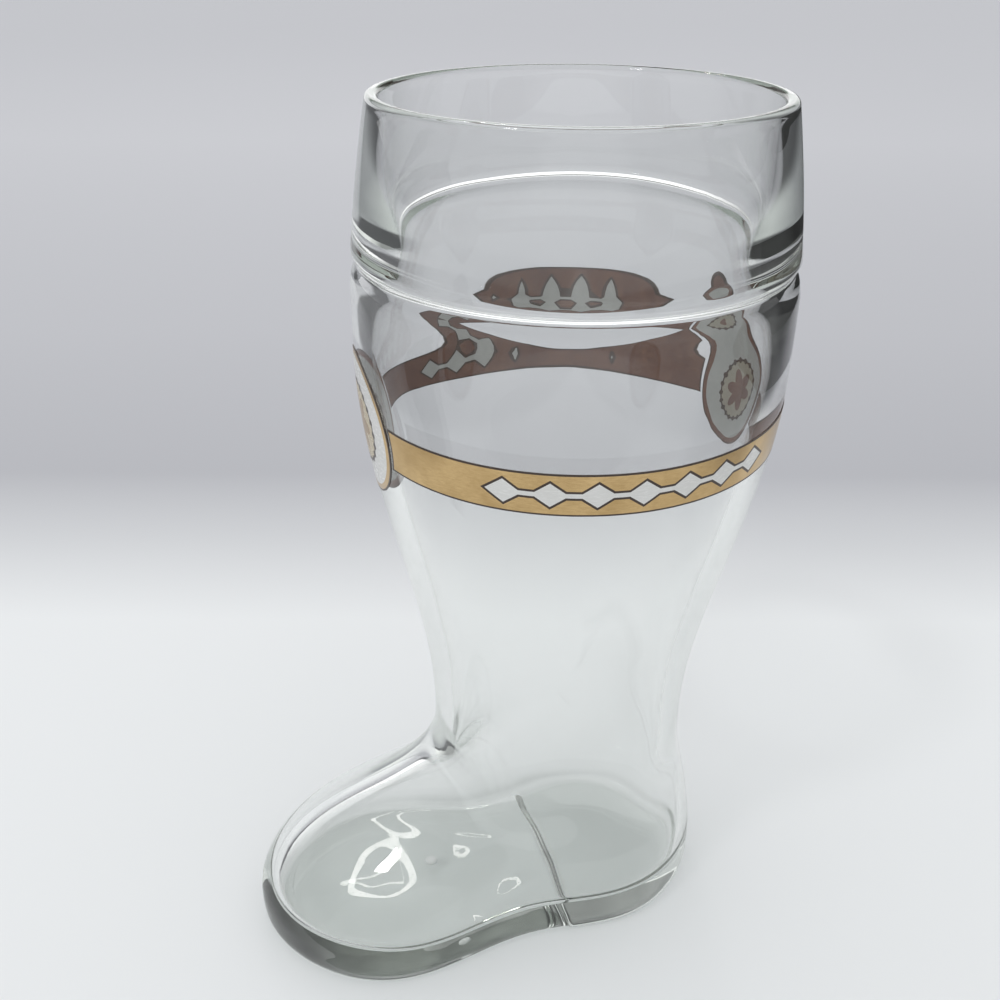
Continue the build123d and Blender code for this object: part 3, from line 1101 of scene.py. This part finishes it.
# %% [markdown]
# ## Room
#
# A soft sky lights everything, brighter overhead than at the sides. The camera sees a plain pale
# wall in its place, and so does a ray that goes straight through the glass, so that the boot looks
# clear from every side. Straight behind the boot the room has two layers: a bright one near the
# ground, which shows as the white arc in the collar, and a dark one above it, which draws the dark
# edge under that arc.

# %% Sky and wall
world = bpy.data.worlds.new("room")
bpy.context.scene.world = world
world.use_nodes = True
tree = world.node_tree
tree.nodes.clear()
output = tree.nodes.new("ShaderNodeOutputWorld")
direction = tree.nodes.new("ShaderNodeTexCoord").outputs["Generated"]
backwards, height = add(tree, "ShaderNodeSeparateXYZ", {0: direction}).outputs[1:]
plain_wall = (0.75, 0.755, 0.77, 1)
sky = ramp(tree, height, (0.5, (0.5, 0.505, 0.515)), (0.85, (1.5, 1.51, 1.53)))
layers = ramp(tree, height, (0.19, (1.5, 1.5, 1.52)), (0.24, (0.03, 0.035, 0.03)))
straight_back = ranged(tree, backwards, 0.7, 0.85)
near_ground = ranged(tree, height, 0.56, 0.5)
backdrop = reckon(tree, "MULTIPLY", straight_back, near_ground)
rays = tree.nodes.new("ShaderNodeLightPath").outputs
unmirrored = reckon(tree, "LESS_THAN", rays["Glossy Depth"], 0.5)
straight_through = reckon(tree, "MULTIPLY", rays["Is Transmission Ray"], unmirrored)
behind_glass = blended(tree, straight_through, sky, plain_wall)
room = blended(tree, backdrop, behind_glass, layers)
seen = blended(tree, rays["Is Camera Ray"], room, plain_wall)
shine = add(tree, "ShaderNodeBackground", {"Color": seen, "Strength": 0.9})
tree.links.new(shine.outputs[0], output.inputs["Surface"])
print("room made of", len(tree.nodes), "nodes")

# %% [markdown]
# ## Lamps
#
# Two small lamps give the highlights. One stands high at the left in front, like a small window.
# The other is a flattened ring behind the boot. The inner floor mirrors it as a thin bright loop,
# bent by the waves of the glass.

# %% Window
aim, window_place = Vector((0, 0, 0.05)), Vector((-0.9, -0.5, 1.3))
window_light = bpy.data.lights.new("window", "AREA")
window_light.shape, window_light.energy = "RECTANGLE", 2.5
window_light.size, window_light.size_y = 0.16, 0.12
window = place("window", window_light)
window.location = window_place
window.rotation_euler = (aim - window_place).to_track_quat("-Z", "Y").to_euler()
print("window in m:", window_place)

# %% Ring
ring_place, ring_radii = Vector((0.06, 1.05, 1.2)), (0.06, 0.046)
ring_across, ring_up, ring_steps = 1.5, 0.6, 48
facing_boot = (aim - ring_place).to_track_quat("Z", "Y")
ring_points, ring_faces = [], []
for i in range(ring_steps):
    angle, after = i * full_turn / ring_steps, (i + 1) % ring_steps
    turn = Vector((ring_across * math.cos(angle), ring_up * math.sin(angle), 0))
    ring_points += [ring_place + facing_boot @ (turn * radius) for radius in ring_radii]
    ring_faces.append((2 * i, 2 * after, 2 * after + 1, 2 * i + 1))
ring = place("ring_lamp", flat_mesh("ring_lamp", ring_points, ring_faces))
ring_finish, tree, output = material("ring_light")
tube = add(tree, "ShaderNodeEmission", {"Color": (1, 0.98, 0.95, 1), "Strength": 80.0})
tree.links.new(tube.outputs[0], output.inputs["Surface"])
ring.data.materials.append(ring_finish)
ring.visible_camera = False
print("ring in m:", ring_place)

# %% [markdown]
# ## Cards
#
# The edge of the sole and the front of the heel mirror the room behind and at the right. Two cards
# hang there as painted dark reflections, mottled and with painted shade that darkens them towards
# the right, so that those edges come out grey like thick glass. Only mirrored rays see the cards.
# The camera doesn't, they cast no shadow, and they don't show through the leg.


# %% Cards of painted dark reflection
def card(name, corners, light, dark, scale):
    finish, tree, output = material(name)
    coordinates = object_place(tree)
    shade = ranged(tree, noise(tree, coordinates, scale, 2.0), 0.35, 0.65, dark, light)
    across = add(tree, "ShaderNodeSeparateXYZ", {0: coordinates}).outputs[0]
    # Painted shade: the card darkens towards the right.
    painted_dimming = ranged(tree, across, 0.15, 0.8, 1.0, 0.2, interpolation_type="SMOOTHSTEP")
    tone = reckon(tree, "MULTIPLY", shade, painted_dimming)
    # The card's surface is a painted dark reflection, seen only by mirrored rays.
    painted_reflection = add(tree, "ShaderNodeBsdfPrincipled", {"Base Color": tone, "Roughness": 0.9}).outputs[0]
    mirrors = tree.nodes.new("ShaderNodeLightPath").outputs["Glossy Depth"]
    mirrored = reckon(tree, "GREATER_THAN", mirrors, 0.5)
    tree.links.new(mixed(tree, mirrored, see_through(tree, 1, 1, 1), painted_reflection), output.inputs["Surface"])
    made = place(name, flat_mesh(name, corners, [(0, 1, 2, 3)]))
    made.data.materials.append(finish)
    made.visible_camera = made.visible_diffuse = made.visible_shadow = False
    print(name, "nodes:", len(tree.nodes))


heel_corners = [(0.5, -0.1, 0.0), (0.5, 0.8, 0.0), (0.5, 0.8, 0.2), (0.5, -0.1, 0.2)]
behind_corners = [(-1.2, 1.6, 0.65), (1.8, 1.6, 0.65), (1.8, 1.6, 1.9), (-1.2, 1.6, 1.9)]
card("card_heel", heel_corners, light=0.18, dark=0.04, scale=3.0)
card("card_behind", behind_corners, light=0.95, dark=0.55, scale=2.5)

# %% [markdown]
# ## Camera
#
# The picture was taken from close by, a little above the rim, looking down past the near side of
# the leg. The place, the direction and the focal length come from matching the rim, the band and
# the sole.

# %% Camera
camera_place = (-49.2, -186.2, 217.0)
tilt, roll = math.radians(29.17), math.radians(0.26)
forward = Vector((math.cos(tilt) * math.sin(heading), math.cos(tilt) * math.cos(heading), -math.sin(tilt)))
right = Vector((math.cos(heading), -math.sin(heading), 0))
above = right.cross(forward)
tilted_right = right * math.cos(roll) + above * math.sin(roll)
tilted_above = tilted_right.cross(forward)
camera_data = bpy.data.cameras.new("camera")
camera_data.sensor_width, camera_data.lens = 36.0, 37.8
camera_data.clip_start = 0.005
camera = place("camera", camera_data)
turn = Matrix((tilted_right, tilted_above, -forward)).transposed().to_4x4()
camera.matrix_world = Matrix.Translation([v * mm for v in camera_place]) @ turn
bpy.context.scene.camera = camera
bpy.context.scene.view_settings.view_transform = "Standard"
print("camera in mm:", camera_place)
